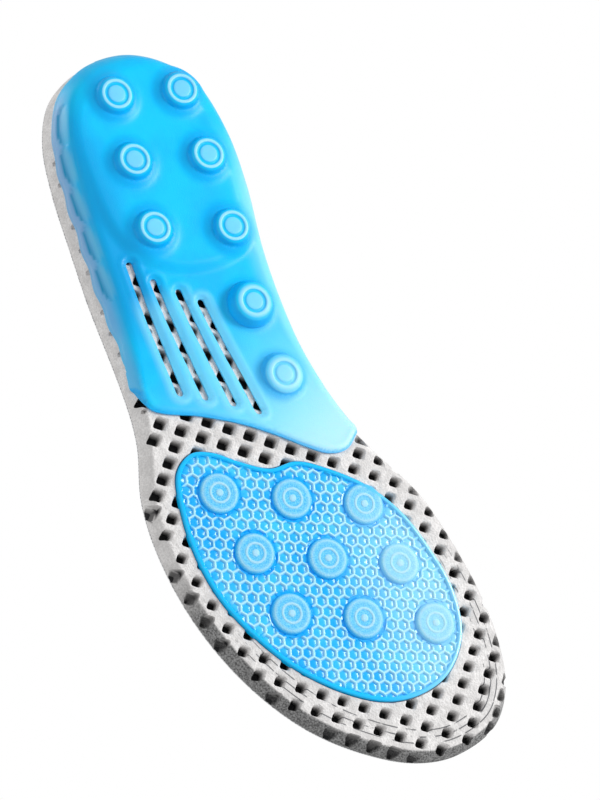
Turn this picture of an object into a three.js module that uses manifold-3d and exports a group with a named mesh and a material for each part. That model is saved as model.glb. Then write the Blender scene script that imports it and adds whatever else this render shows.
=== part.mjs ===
// A cushioned insole for a left shoe: a fabric top cover, a moulded foam body, a gel cup under the
// heel and arch, and a gel pad let into the underside of the forefoot.
// Millimetres, +Z up, +X towards the toe, +Y towards the outer (lateral) side of the foot.
// The foam, the cover and the pad are soft. They bend at three lines across the sole, so each is
// divided there, and each division carries a joint.

import * as THREE from 'three';
import { mergeVertices } from 'three/addons/utils/BufferGeometryUtils.js';
import Module from 'manifold-3d';

const wasm = await Module();
wasm.setup();

// ---- Driving dimensions -------------------------------------------------------------------

// The rim seen from above: x from near the back of the heel, y towards the lateral side.
const RIM = [
  [-8.2, -6.5], [-6.6, -19], [1, -31.4], [13, -39.8], [33, -42.8], [55, -41], [78, -36.6],
  [100, -34.4], [125, -34], [146, -35.6], [164, -40.8], [182, -49], [200, -52.8],
  [222, -54.8], [242, -53.5], [258, -48.4], [269, -38], [273.2, -20], [270, -4], [260, 13],
  [244, 30], [222, 43.5], [197, 51.8], [171, 54.4], [150, 52], [130, 44.3], [108, 38.6],
  [85, 34], [55, 30.4], [32, 27.6], [14, 23.2], [0.6, 15], [-6.3, 4],
];
const RIM_STEPS = 84; // points sampled round the rim

const SPINE_START = 28; // the rings of the mesh close in on this line along the middle of the foot
const SPINE_END = 236;

const FOAM_TOP_TOE = 7.3; // top of the foam over the forefoot
const FOAM_TOP_HEEL = 11.5; // and in the bottom of the heel cup
const FOAM_UNDER_TOE = 1.8; // underside of the foam at the forefoot
const FOAM_UNDER_HEEL = 7; // and under the heel, where the gel is deeper
const RIM_HEEL = 22; // height of the rim round the heel
const ARCH_RISE = 5; // extra height of the rim at the arch
const ARCH_X = 98;
const ARCH_SPREAD = 34;
const RIM_EDGE = 1.2; // thickness of the foam right at the rim
const LIP = 2.4; // width of the flat lip on top of the rim
const CUP_WALL = 13; // width over which the inside of the cup curves up to the lip
const ARCH_WALL = 27; // the same on the arch side, where the support slopes
const OUTER_WALL = 7; // the same on the outside of the cup
const TOE_BEVEL = 3.2; // sloping cut edge of the forefoot

const COVER = 1; // fabric top cover
const SKIN_GAP = 0.45; // clearance between pieces that are glued on the real object

const GEL_SHEET = 1.3; // thickness of the gel sheet
const GEL_GAP = 0.45;
const PLATFORM_UNDER = 3.6; // underside of the raised heel platform
const NUB_RADIUS = 7.4;
const NUB_FACE = 5.6;
const NUB_SIDES = 20;
const HEEL_NUBS = [
  [9.4, -1.5], [14.9, -26.5], [34.2, 2.7], [40.7, -25.4], [60, 6.4], [68.6, -22.4],
  [97, -17.6], [125.3, -16.6],
];
// Outline of the raised platform round the first six nubs.
const PLATFORM = [
  [-0.5, -8], [4, 8], [16, 17.5], [36, 20.5], [56, 19.5], [70, 12], [78, -6], [76, -24],
  [60, -31.5], [36, -35], [14, -32], [2, -21],
];
// Outline of the gel: outside the rim all round the heel, and the true front edge between.
const GEL_OUTLINE = [
  [-14, -8], [-8, 24], [30, 40], [80, 44], [107, 46], [112, 39], [121, 37], [129.5, 19.8],
  [137.3, 6.1], [145.8, -5.1], [152.3, -12.6], [157.5, -20], [158.5, -27], [155, -33],
  [146, -43], [110, -50], [60, -50], [-4, -44],
];
const GEL_EDGE_BELOW_RIM = 7; // the gel stops this far below the rim
const GEL_EDGE_LOWEST = 7.2; // but covers the whole of the underside
const SCALLOP = 1.5; // half the height of the waves in its upper edge
const SCALLOP_PITCH = 17;
const SLOT_WIDTH = 2.7;
// The two ends of each slot through the gel sheet.
const SLOTS = [
  [[69, 19.3], [118.8, 23.8]], [[77.6, 13.3], [123.2, 15.3]], [[84, 5.8], [128.7, 6.1]],
  [[90.1, -0.6], [134.5, -1.7]],
];

// Outline of the forefoot pad.
const PAD = [
  [140.4, 30], [145, 37.8], [158, 42.4], [175, 44.4], [192, 42.6], [208, 36.6], [224, 27],
  [238, 13.5], [246.5, 0], [249, -13], [246, -27], [235, -38.5], [219, -42.8], [203, -41.3],
  [187, -37], [174, -29.3], [163, -17.6], [156, -6.5], [155.2, 4], [149, 14], [142.5, 22.6],
];
const PAD_UNDER = 1; // the pad's own surface
const PAD_TOP = 3.3;
const POCKET_TOP = 3.65; // ceiling of the pocket in the foam
const POCKET_GAP = 0.7; // clearance round the pad
const DISC_RADIUS = 7.5;
const DISC_START = [157, 26.3]; // the first of a grid of three by three discs
const DISC_ACROSS = [11, -25.2]; // step towards the arch side
const DISC_AHEAD = [24.3, -3.2]; // step towards the toe

// Lines across the sole where it bends: a point on the line, its slant from square across, and
// how far it bends down, which is the angle of the notch under it.
const FLEX = {
  waist: { x: 151, y: -5, slant: 33, down: 10 },
  ball: { x: 180.2, y: -0.5, slant: 23.6, down: 10 },
  toe: { x: 254.5, y: -10, slant: 24, down: 10 },
};
const PIVOT_HEIGHT = { waist: 11.4, ball: 8.9, toe: 8.9 };
const FLEX_GAP = 0.4;

// ---- Small maths helpers --------------------------------------------------------------------

const lerp = THREE.MathUtils.lerp;
const smooth = THREE.MathUtils.smoothstep;
const bell = (value, centre, spread) => Math.exp(-(((value - centre) / spread) ** 2));

function closedCurve(points, steps) {
  const knots = points.map(([x, y]) => new THREE.Vector3(x, y, 0));
  const curve = new THREE.CatmullRomCurve3(knots, true, 'centripetal');
  return curve.getSpacedPoints(steps).slice(0, steps).map((p) => new THREE.Vector2(p.x, p.y));
}

const rim = closedCurve(RIM, RIM_STEPS);
const rimBox = new THREE.Box2().setFromPoints(rim);
const centre = rimBox.getCenter(new THREE.Vector2());

// Distance from a point to the rim, measured inwards.
function inset(x, y) {
  const p = new THREE.Vector3(x, y, 0);
  const side = new THREE.Line3();
  const near = new THREE.Vector3();
  let best = Infinity;
  rim.forEach((a, i) => {
    const b = rim[(i + 1) % rim.length];
    side.start.set(a.x, a.y, 0);
    side.end.set(b.x, b.y, 0);
    side.closestPointToPoint(p, true, near);
    best = Math.min(best, near.distanceTo(p));
  });
  return best;
}

// Distance ahead of a flex line, square to it.
function ahead(line, x, y) {
  const slant = THREE.MathUtils.degToRad(line.slant);
  return (x - line.x) * Math.cos(slant) + (y - line.y) * Math.sin(slant);
}

// ---- The surfaces of the insole ---------------------------------------------------------------

const middleY = (x) => lerp(-5, -3, smooth(x, 30, 230));
const medial = (x, y) => smooth(middleY(x) - y, -10, 10);

function rimHeight(x, y) {
  const lateralEdge = lerp(RIM_HEEL, FOAM_TOP_TOE, smooth(x, 70, 135));
  const archEdge = lerp(RIM_HEEL, FOAM_TOP_TOE, smooth(x, 105, 172))
    + ARCH_RISE * bell(x, ARCH_X, ARCH_SPREAD) * (1 - smooth(x, 120, 172));
  return lerp(lateralEdge, archEdge, medial(x, y));
}

function foamTop(x, y) {
  const bottom = lerp(FOAM_TOP_HEEL, FOAM_TOP_TOE, smooth(ahead(FLEX.waist, x, y), -58, -2));
  const archWidth = bell(x, ARCH_X + 12, ARCH_SPREAD) * medial(x, y);
  const t = (inset(x, y) - LIP) / lerp(CUP_WALL, ARCH_WALL, archWidth);
  return lerp(bottom, rimHeight(x, y), (1 - THREE.MathUtils.clamp(t, 0, 1)) ** 2.2);
}

function foamUnder(x, y) {
  const forward = smooth(ahead(FLEX.waist, x, y), -48, 4);
  const under = lerp(FOAM_UNDER_HEEL, FOAM_UNDER_TOE, forward);
  const t = inset(x, y) / lerp(OUTER_WALL, TOE_BEVEL, forward);
  const curve = (1 - THREE.MathUtils.clamp(t, 0, 1)) ** lerp(2.2, 1.2, forward);
  return lerp(under, rimHeight(x, y) - RIM_EDGE, curve);
}

// ---- Meshes ---------------------------------------------------------------------------------

// Points on a ring a given distance inside the rim.
function ring(distance) {
  return rim.map((p) => {
    const x = THREE.MathUtils.clamp(p.x, SPINE_START, SPINE_END);
    const spine = new THREE.Vector2(x, middleY(x));
    const reach = Math.min(distance / p.distanceTo(spine), 0.86);
    return p.clone().lerp(spine, reach);
  });
}

// Triangles across the innermost ring, from its heel end to its toe end.
function middleStrip(count) {
  const faces = [];
  for (let k = 0; k < count / 2; k += 1) {
    const left = (count - k) % count;
    const leftAhead = count - 1 - k;
    if (k > 0) faces.push([k, leftAhead, left]);
    if (k + 1 < leftAhead) faces.push([k, k + 1, leftAhead]);
  }
  return faces;
}

// A closed body between an upper and a lower surface, each a list of rings from the rim inwards.
// Both surfaces divide their four-sided faces the same way, so that neighbours fit.
function shell(upper, lower) {
  const rings = [...upper].reverse().concat(lower);
  const count = rings[0].length;
  const positions = rings.flat().flatMap((p) => [p.x, p.y, p.z]);
  const faces = [];
  for (let r = 0; r + 1 < rings.length; r += 1) {
    for (let i = 0; i < count; i += 1) {
      const j = (i + 1) % count;
      const a = r * count;
      const b = a + count;
      if (r < upper.length) faces.push(a + i, b + i, b + j, a + i, b + j, a + j);
      else faces.push(a + i, b + i, a + j, a + j, b + i, b + j);
    }
  }
  const last = (rings.length - 1) * count;
  middleStrip(count).forEach(([a, b, c]) => faces.push(a, b, c, last + c, last + b, last + a));
  const geometry = new THREE.BufferGeometry();
  geometry.setAttribute('position', new THREE.Float32BufferAttribute(positions, 3));
  geometry.setIndex(faces);
  return geometry;
}

const surface = (distances, height) => distances.map((d) => ring(d)
  .map((p) => new THREE.Vector3(p.x, p.y, height(p.x, p.y))));

// A surface pushed square away from the foam's underside.
function outside(distances, thickness) {
  const h = 0.2;
  return surface(distances, foamUnder).map((points) => points.map((p) => {
    const dx = (foamUnder(p.x + h, p.y) - foamUnder(p.x - h, p.y)) / (2 * h);
    const dy = (foamUnder(p.x, p.y + h) - foamUnder(p.x, p.y - h)) / (2 * h);
    return new THREE.Vector3(dx, dy, -1).setLength(thickness).add(p);
  }));
}

// ---- Cuts and joins ---------------------------------------------------------------------------

function solid(geometry) {
  const bare = geometry.clone();
  bare.deleteAttribute('normal');
  bare.deleteAttribute('uv');
  const merged = mergeVertices(bare, 1e-4);
  return new wasm.Manifold(new wasm.Mesh({
    numProp: 3,
    vertProperties: new Float32Array(merged.attributes.position.array),
    triVerts: new Uint32Array(merged.index.array),
  }));
}

function geometryOf(body) {
  const mesh = body.getMesh();
  const geometry = new THREE.BufferGeometry();
  geometry.setAttribute('position', new THREE.BufferAttribute(mesh.vertProperties, 3));
  geometry.setIndex(new THREE.BufferAttribute(mesh.triVerts, 1));
  return geometry;
}

// A plan outline extruded upwards between two heights.
function prism(points, low, high) {
  const plan = points.map(([x, y]) => new THREE.Vector2(x, y));
  const geometry = new THREE.ExtrudeGeometry(new THREE.Shape(plan), {
    depth: high - low,
    bevelEnabled: false,
  });
  geometry.translate(0, 0, low);
  return solid(geometry);
}

const curvedPrism = (points, steps, low, high) => prism(
  closedCurve(points, steps).map((p) => [p.x, p.y]), low, high);

// The half space ahead of a flex line. Its rear face leans forward below the pivot, by the angle
// the sole may bend down, and the half space behind ends square at the line.
function aheadOf(name) {
  const line = FLEX[name];
  const notch = Math.tan(THREE.MathUtils.degToRad(line.down));
  const pivot = PIVOT_HEIGHT[name];
  const half = FLEX_GAP / 2;
  const far = 300;
  const depth = 40;
  const side = new THREE.Shape();
  side.moveTo(half + notch * depth, -depth);
  side.lineTo(far, -depth);
  side.lineTo(far, far);
  side.lineTo(half, far);
  side.lineTo(half, pivot);
  return standingSlab(side, line, far);
}

function behind(name) {
  const far = 300;
  const side = new THREE.Shape();
  side.moveTo(-FLEX_GAP / 2, -far);
  side.lineTo(-FLEX_GAP / 2, far);
  side.lineTo(-far, far);
  side.lineTo(-far, -far);
  return standingSlab(side, FLEX[name], far);
}

// Extrudes a side view across the sole along a flex line.
function standingSlab(side, line, reach) {
  const geometry = new THREE.ExtrudeGeometry(side, { depth: 2 * reach, bevelEnabled: false });
  geometry.translate(0, 0, -reach);
  geometry.rotateX(Math.PI / 2);
  geometry.rotateZ(THREE.MathUtils.degToRad(line.slant));
  geometry.translate(line.x, line.y, 0);
  return solid(geometry);
}

// A short upright cylinder whose lower face is flat and slightly narrower.
function nub([x, y], foot, waist, low, high) {
  const profile = [[0, low], [foot, low], [waist, low + 1], [waist, high], [0, high]];
  const geometry = new THREE.LatheGeometry(profile.map(([r, z]) => new THREE.Vector2(r, z)), NUB_SIDES);
  geometry.rotateX(Math.PI / 2);
  geometry.translate(x, y, 0);
  return solid(geometry);
}

// ---- The pieces -------------------------------------------------------------------------------

const UPPER_RINGS = [0, LIP, LIP + 1.6, LIP + 3.6, LIP + 6.4, LIP + 10, LIP + 15, LIP + 22, 99];
const UNDER_RINGS = [0, 0.7, 1.6, 2.6, 3.6, 5, 6.6, 9, 99];

function makeFoam() {
  const body = solid(shell(surface(UPPER_RINGS, foamTop), surface(UNDER_RINGS, foamUnder)));
  return body.subtract(makePocket());
}

// The pocket that the forefoot pad lies in.
function makePocket() {
  const outline = closedCurve(PAD, 72);
  const middle = outline.reduce((sum, p) => sum.add(p), new THREE.Vector2()).divideScalar(72);
  const wider = outline.map((p) => {
    const out = p.clone().sub(middle);
    return p.clone().add(out.setLength(POCKET_GAP)).toArray();
  });
  return prism(wider, -5, POCKET_TOP);
}

function makeCover() {
  const foot = (x, y) => foamTop(x, y) + SKIN_GAP + COVER;
  const under = (x, y) => foamTop(x, y) + SKIN_GAP;
  return solid(shell(surface(UPPER_RINGS, foot), surface(UPPER_RINGS, under)));
}

// Everything above the wavy upper edge of the gel.
function aboveGelEdge() {
  const far = 80;
  const edge = [];
  for (let x = -14; x <= 170; x += 4) {
    const wave = SCALLOP * Math.cos((2 * Math.PI * x) / SCALLOP_PITCH) * smooth(x, 8, 26);
    edge.push([x, Math.max(rimHeight(x, far) - GEL_EDGE_BELOW_RIM + wave, GEL_EDGE_LOWEST)]);
  }
  const archEdge = edge.map(([x]) => [
    x, Math.max(rimHeight(x, -far) - GEL_EDGE_BELOW_RIM, GEL_EDGE_LOWEST)]);
  return halfAbove(edge, middleY(60), far).add(halfAbove(archEdge, -far, middleY(60)));
}

function halfAbove(edge, fromY, toY) {
  const side = new THREE.Shape(edge.map(([x, z]) => new THREE.Vector2(x, z)));
  side.lineTo(170, 90);
  side.lineTo(-14, 90);
  const geometry = new THREE.ExtrudeGeometry(side, { depth: toY - fromY, bevelEnabled: false });
  geometry.rotateX(Math.PI / 2);
  geometry.translate(0, toY, 0);
  return solid(geometry);
}

function slot([[x0, y0], [x1, y1]]) {
  const along = new THREE.Vector2(x1 - x0, y1 - y0).setLength(SLOT_WIDTH / 2);
  const corner = (x, y, a, b) => [x + a * along.x - b * along.y, y + a * along.y + b * along.x];
  const end = (x, y, a) => [corner(x, y, 0, -a), corner(x, y, a, 0), corner(x, y, 0, a)];
  return prism([...end(x1, y1, 1), ...end(x0, y0, -1)], -5, 20);
}

function makeGelCup() {
  const inner = outside(UNDER_RINGS, GEL_GAP);
  const outer = outside(UNDER_RINGS, GEL_GAP + GEL_SHEET);
  let cup = solid(shell(inner, outer));
  cup = cup.subtract(aboveGelEdge());
  cup = cup.intersect(prism(GEL_OUTLINE, -5, 60));
  SLOTS.forEach((ends) => {
    cup = cup.subtract(slot(ends));
  });
  const sheetTop = FOAM_UNDER_HEEL - GEL_GAP - 0.3;
  cup = cup.add(curvedPrism(PLATFORM, 36, PLATFORM_UNDER, sheetTop));
  HEEL_NUBS.forEach(([x, y]) => {
    const lowestFoam = foamUnder(x + NUB_RADIUS, y + NUB_RADIUS / 2);
    cup = cup.add(nub([x, y], NUB_FACE, NUB_RADIUS, 0, lowestFoam - GEL_GAP - 0.3));
  });
  return cup;
}

function makePad() {
  let pad = curvedPrism(PAD, 56, PAD_UNDER, PAD_TOP);
  for (let row = 0; row < 3; row += 1) {
    for (let step = 0; step < 3; step += 1) {
      const x = DISC_START[0] + row * DISC_AHEAD[0] + step * DISC_ACROSS[0];
      const y = DISC_START[1] + row * DISC_AHEAD[1] + step * DISC_ACROSS[1];
      pad = pad.add(nub([x, y], DISC_RADIUS - 1, DISC_RADIUS, 0, PAD_UNDER + 0.5));
    }
  }
  return pad;
}

// ---- The assembly -----------------------------------------------------------------------------

const WHITE_KNIT = { color: 0xe6e6e8, roughness: 0.95, metalness: 0 };
const GREY_FOAM = { color: 0xc9c8c7, roughness: 0.9, metalness: 0 };
const BLUE_GEL = { color: 0x35c3f5, roughness: 0.25, metalness: 0 };

const group = new THREE.Group();
group.position.set(-centre.x, -centre.y, 0);

function addPiece(name, body, finish) {
  const mesh = new THREE.Mesh(geometryOf(body), new THREE.MeshStandardMaterial(finish));
  mesh.name = name;
  group.add(mesh);
}

// Divides a whole sheet at the three flex lines.
function addZones(prefix, whole, finish) {
  addPiece(`${prefix}_rear`, whole.intersect(behind('waist')), finish);
  addPiece(`${prefix}_ball`, whole.intersect(aheadOf('waist')).intersect(behind('ball')), finish);
  addPiece(`${prefix}_front`, whole.intersect(aheadOf('ball')).intersect(behind('toe')), finish);
  addPiece(`${prefix}_toe`, whole.intersect(aheadOf('toe')), finish);
}

addZones('top_cover', makeCover(), WHITE_KNIT);
addZones('foam_body', makeFoam(), GREY_FOAM);
addPiece('heel_gel_cup', makeGelCup(), BLUE_GEL);

const pad = makePad();
addPiece('forefoot_pad_rear', pad.intersect(behind('ball')), BLUE_GEL);
addPiece('forefoot_pad_front', pad.intersect(aheadOf('ball')), BLUE_GEL);

export default group;
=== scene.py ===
# %% [markdown]
# # A cushioned insole
# The object is a shoe insole made of four soft layers: a knitted top cover, a moulded foam body
# full of square holes, a gel cup under the heel and arch, and a gel pad let into the forefoot.
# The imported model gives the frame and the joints. Every layer is built again here with its real
# surface, in millimetres measured from the back of the heel, and moved into the frame at the end.

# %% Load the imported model
import math

import bmesh
import bpy
import numpy as np
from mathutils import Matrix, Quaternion, Vector


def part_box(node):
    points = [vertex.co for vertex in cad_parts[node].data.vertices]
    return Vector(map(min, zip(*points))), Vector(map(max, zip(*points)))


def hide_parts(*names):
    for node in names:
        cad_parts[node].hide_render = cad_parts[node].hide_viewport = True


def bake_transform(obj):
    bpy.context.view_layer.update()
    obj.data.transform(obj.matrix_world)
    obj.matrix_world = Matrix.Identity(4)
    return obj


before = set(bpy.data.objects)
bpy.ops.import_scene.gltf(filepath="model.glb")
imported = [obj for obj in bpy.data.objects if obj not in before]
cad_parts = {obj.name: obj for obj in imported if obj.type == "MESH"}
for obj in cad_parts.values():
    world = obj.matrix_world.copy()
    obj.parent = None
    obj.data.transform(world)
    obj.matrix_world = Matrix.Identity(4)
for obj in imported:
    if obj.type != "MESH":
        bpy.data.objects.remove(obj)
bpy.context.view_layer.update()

# %% [markdown]
# ## Camera
# The insole is looked at from underneath and from its outer side, through a long lens, so that
# nothing spreads with distance. The camera is turned about its own axis until the heel is up and
# to the left.

# %% Camera
AIM = Vector((0.00378, -0.01729, 0))
TOWARDS_CAMERA = Vector((0.1336, 0.4660, -0.8746))
CAMERA_TURN = math.radians(-128.5)
CAMERA_AWAY = 1.4  # metres

camera = bpy.data.objects.new("camera", bpy.data.cameras.new("camera"))
camera.data.sensor_fit = "VERTICAL"
camera.data.sensor_height = 24
camera.data.lens = 118.4
camera.data.clip_start, camera.data.clip_end = 0.05, 30
camera.location = AIM + TOWARDS_CAMERA.normalized() * CAMERA_AWAY
camera.rotation_mode = "QUATERNION"
camera.rotation_quaternion = TOWARDS_CAMERA.to_track_quat("Z", "Y") @ Quaternion(
    (0, 0, 1), CAMERA_TURN)
bpy.context.scene.collection.objects.link(camera)
bpy.context.scene.camera = camera
bpy.context.scene.view_settings.view_transform = "Standard"

# %% [markdown]
# ## Shaders
# Soft goods look real through small things: grain in the foam, the stitch of the knit, frosting
# on the gel. Each small effect is a node group with its own inputs, so that several materials can
# share it. Patterns are measured in millimetres of the piece at rest, which is stored on every
# point, so they stay put when the insole bends.

# %% Material helpers
def new_material(name):
    """A material with one shader. Returns it, its node tree and the shader."""
    material = bpy.data.materials.new(name)
    material.use_nodes = True
    tree = material.node_tree
    return material, tree, tree.nodes["Principled BSDF"]


def add(tree, kind, inputs=(), **settings):
    """Adds a node, sets its settings, and feeds its inputs by name or number."""
    node = tree.nodes.new(kind)
    for key, value in settings.items():
        setattr(node, key, value)
    for key, value in dict(inputs).items():
        if isinstance(value, bpy.types.NodeSocket):
            tree.links.new(value, node.inputs[key])
        else:
            node.inputs[key].default_value = value
    return node


def mask(tree, name):
    """A number from 0 to 1 that is stored on the points of the piece."""
    return add(tree, "ShaderNodeAttribute", attribute_name=name).outputs["Fac"]


def place(tree):
    """Where a point is on the piece at rest, in millimetres."""
    return add(tree, "ShaderNodeAttribute", attribute_name="rest_mm").outputs["Vector"]


def mix(tree, amount, a, b):
    """A colour between a and b."""
    node = add(tree, "ShaderNodeMix", data_type="RGBA")
    for socket, value in ((node.inputs[0], amount), (node.inputs[6], a), (node.inputs[7], b)):
        if isinstance(value, bpy.types.NodeSocket):
            tree.links.new(value, socket)
        else:
            socket.default_value = value
    return node.outputs[2]


def between(tree, value, low, high, to_low=0.0, to_high=1.0):
    """Turns one range of numbers into another, smoothly."""
    return add(tree, "ShaderNodeMapRange", {
        0: value, 1: low, 2: high, 3: to_low, 4: to_high,
    }, interpolation_type="SMOOTHSTEP").outputs[0]


def calc(tree, operation, a, b=0.0):
    return add(tree, "ShaderNodeMath", {0: a, 1: b}, operation=operation).outputs[0]


def colour(red, green, blue):
    """A colour as the eye names it, from 0 to 255, in the light units of the renderer."""
    return [(c / 255) ** 2.2 for c in (red, green, blue)] + [1.0]


# %% Node group: grain
def make_group(name, inputs, outputs):
    """An empty node group with named sockets, and its two end nodes."""
    group = bpy.data.node_groups.new(name, "ShaderNodeTree")
    for label, kind, value in inputs:
        socket = group.interface.new_socket(label, in_out="INPUT", socket_type=kind)
        if value is not None:
            socket.default_value = value
    for label, kind in outputs:
        group.interface.new_socket(label, in_out="OUTPUT", socket_type=kind)
    return group, group.nodes.new("NodeGroupInput"), group.nodes.new("NodeGroupOutput")


def make_grain():
    """Fine speckle and a slower cloudiness, both from 0 to 1."""
    group, source, result = make_group(
        "grain",
        [("Place", "NodeSocketVector", None), ("Speckles per mm", "NodeSocketFloat", 2.0),
         ("Clouds per mm", "NodeSocketFloat", 0.1)],
        [("Speckle", "NodeSocketFloat"), ("Cloud", "NodeSocketFloat")])
    speckle = add(group, "ShaderNodeTexNoise", {
        "Vector": source.outputs["Place"], "Scale": source.outputs["Speckles per mm"],
        "Detail": 2.0, "Roughness": 0.6})
    cloud = add(group, "ShaderNodeTexNoise", {
        "Vector": source.outputs["Place"], "Scale": source.outputs["Clouds per mm"],
        "Detail": 3.0, "Roughness": 0.5})
    group.links.new(between(group, speckle.outputs[0], 0.3, 0.7), result.inputs["Speckle"])
    group.links.new(between(group, cloud.outputs[0], 0.3, 0.7), result.inputs["Cloud"])
    return group


GRAIN = make_grain()


def grain(tree, speckles, clouds):
    """Places the grain group in a material. Returns speckle and cloud."""
    node = add(tree, "ShaderNodeGroup", node_tree=GRAIN)
    tree.links.new(place(tree), node.inputs["Place"])
    node.inputs["Speckles per mm"].default_value = speckles
    node.inputs["Clouds per mm"].default_value = clouds
    return node.outputs["Speckle"], node.outputs["Cloud"]


def bump(tree, shader, height, depth_mm, strength=1.0):
    """Feeds a height from 0 to 1 to the shader's normal, as a relief depth_mm deep."""
    node = add(tree, "ShaderNodeBump", {
        "Strength": strength, "Distance": depth_mm / 1000, "Height": height})
    tree.links.new(node.outputs["Normal"], shader.inputs["Normal"])


# %% [markdown]
# ## Floor and light
# The insole stands on a plain pale floor. It can only be seen from above: from below it lets the
# camera look through, or there would be nothing to see. Lamps above and below are large and soft,
# as light tents are, and the strongest one below stands towards the arch side.

# %% Floor and light
def make_floor():
    half = 4.0
    mesh = bpy.data.meshes.new("floor")
    mesh.from_pydata([(-half, -half, 0), (half, -half, 0), (half, half, 0), (-half, half, 0)],
                     [], [(0, 1, 2, 3)])
    floor = bpy.data.objects.new("floor", mesh)
    floor.location.z = -0.0001
    bpy.context.scene.collection.objects.link(floor)
    material, tree, shader = new_material("pale_floor")
    shader.inputs["Base Color"].default_value = colour(226, 227, 229)
    shader.inputs["Roughness"].default_value = 0.9
    seen_from = add(tree, "ShaderNodeNewGeometry").outputs["Backfacing"]
    clear = add(tree, "ShaderNodeBsdfTransparent")
    either = add(tree, "ShaderNodeMixShader", {
        0: seen_from, 1: shader.outputs[0], 2: clear.outputs[0]})
    tree.links.new(either.outputs[0], tree.nodes["Material Output"].inputs["Surface"])
    mesh.materials.append(material)
    for ray in ("visible_shadow", "visible_diffuse", "visible_glossy", "visible_transmission"):
        setattr(floor, ray, False)


def make_lamp(name, direction, away, size, watts):
    """A square soft lamp, away metres off in a direction, facing the insole."""
    data = bpy.data.lights.new(name, "AREA")
    data.size, data.energy = size, watts
    lamp = bpy.data.objects.new(name, data)
    towards = Vector(direction).normalized()
    lamp.location = towards * away
    lamp.rotation_euler = towards.to_track_quat("Z", "Y").to_euler()
    bpy.context.scene.collection.objects.link(lamp)


def make_world(camera_white, glow):
    """White where the camera looks past the insole, and a weaker even glow for light."""
    world = bpy.data.worlds.new("studio")
    bpy.context.scene.world = world
    world.use_nodes = True
    tree = world.node_tree
    seen = add(tree, "ShaderNodeLightPath").outputs["Is Camera Ray"]
    level = add(tree, "ShaderNodeMapRange", {0: seen, 3: glow, 4: camera_white})
    tree.links.new(level.outputs[0], tree.nodes["Background"].inputs["Strength"])
    tree.nodes["Background"].inputs["Color"].default_value = (1, 1, 1, 1)


make_floor()
make_world(1.0, 0.57)
make_lamp("below_arch_side", (0.12, -0.85, -0.75), 1.1, 0.4, 9.5)
make_lamp("below_outer_side", (-0.3, 0.9, -0.6), 1.3, 0.8, 2.2)
make_lamp("above", (0.2, -0.3, 1.0), 1.5, 1.2, 14.0)
make_lamp("above_heel", (-1.0, 0.4, 0.6), 1.6, 0.8, 6.0)

# %% [markdown]
# ## The outline
# Every layer follows one outline, the rim of the insole seen from above. It is drawn through a
# list of points with a smooth closed curve, then cut into even steps. Some of the points follow
# a measured silhouette, rounded and moved. The imported foam's own box says where the back
# of the heel lies in the frame.

# %% Curves and distances
def closed_curve(points, spacing):
    """Even steps along a smooth closed line through the points, counter-clockwise."""
    p = np.array(points, float)
    fine = []
    for i in range(len(p)):
        p0, p1, p2, p3 = (p[(i + k) % len(p)] for k in (-1, 0, 1, 2))
        t1 = np.linalg.norm(p1 - p0) ** 0.5
        t2 = t1 + np.linalg.norm(p2 - p1) ** 0.5
        t3 = t2 + np.linalg.norm(p3 - p2) ** 0.5
        t = np.linspace(t1, t2, 24, endpoint=False)[:, None]
        a1 = (t1 - t) / t1 * p0 + t / t1 * p1
        a2 = (t2 - t) / (t2 - t1) * p1 + (t - t1) / (t2 - t1) * p2
        a3 = (t3 - t) / (t3 - t2) * p2 + (t - t2) / (t3 - t2) * p3
        b1 = (t2 - t) / t2 * a1 + t / t2 * a2
        b2 = (t3 - t) / (t3 - t1) * a2 + (t - t1) / (t3 - t1) * a3
        fine.append((t2 - t) / (t2 - t1) * b1 + (t - t1) / (t2 - t1) * b2)
    line = np.vstack(fine)
    closed = np.vstack([line, line[:1]])
    along = np.r_[0, np.cumsum(np.linalg.norm(np.diff(closed, axis=0), axis=1))]
    if callable(spacing):
        steps, at = [0.0], 0.0
        while at < along[-1]:
            at += spacing(np.interp(at, along, closed[:, 0]))
            steps.append(at)
        steps = np.array(steps[:-1]) * along[-1] / at
    else:
        steps = np.linspace(0, along[-1], int(along[-1] / spacing), endpoint=False)
    return np.stack([np.interp(steps, along, closed[:, k]) for k in (0, 1)], 1)


def distance_to(line, xy):
    """Distance from each point to a closed line."""
    a, b = line, np.roll(line, -1, axis=0)
    d = b - a
    size = (d ** 2).sum(1)
    result = np.empty(len(xy))
    for start in range(0, len(xy), 4000):
        q = xy[start:start + 4000, None, :]
        t = np.clip(((q - a) * d).sum(2) / size, 0, 1)
        gap = q - (a + t[..., None] * d)
        result[start:start + 4000] = np.sqrt((gap ** 2).sum(2).min(1))
    return result


def within(line, xy):
    """Distance inside a closed line, negative outside it."""
    a, b = line, np.roll(line, -1, axis=0)
    crossings = np.zeros(len(xy), int)
    for (ax, ay), (bx, by) in zip(a, b):
        spans = (ay > xy[:, 1]) != (by > xy[:, 1])
        if spans.any():
            cut = ax + (xy[spans, 1] - ay) * (bx - ax) / (by - ay)
            crossings[spans] += xy[spans, 0] < cut
    return np.where(crossings % 2 == 1, 1, -1) * distance_to(line, xy)


def to_segment(start, end, xy):
    """Distance from each point to a straight line between two points."""
    a, d = np.array(start, float), np.array(end, float) - start
    t = np.clip(((xy - a) @ d) / (d @ d), 0, 1)
    return np.linalg.norm(xy - a - t[:, None] * d, axis=1)


def blend_of(a, b, t):
    return a + (b - a) * t


def smooth(value, low, high):
    t = np.clip((value - low) / (high - low), 0, 1)
    return t * t * (3 - 2 * t)


def bell(value, centre, spread):
    return np.exp(-((value - centre) / spread) ** 2)


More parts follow.
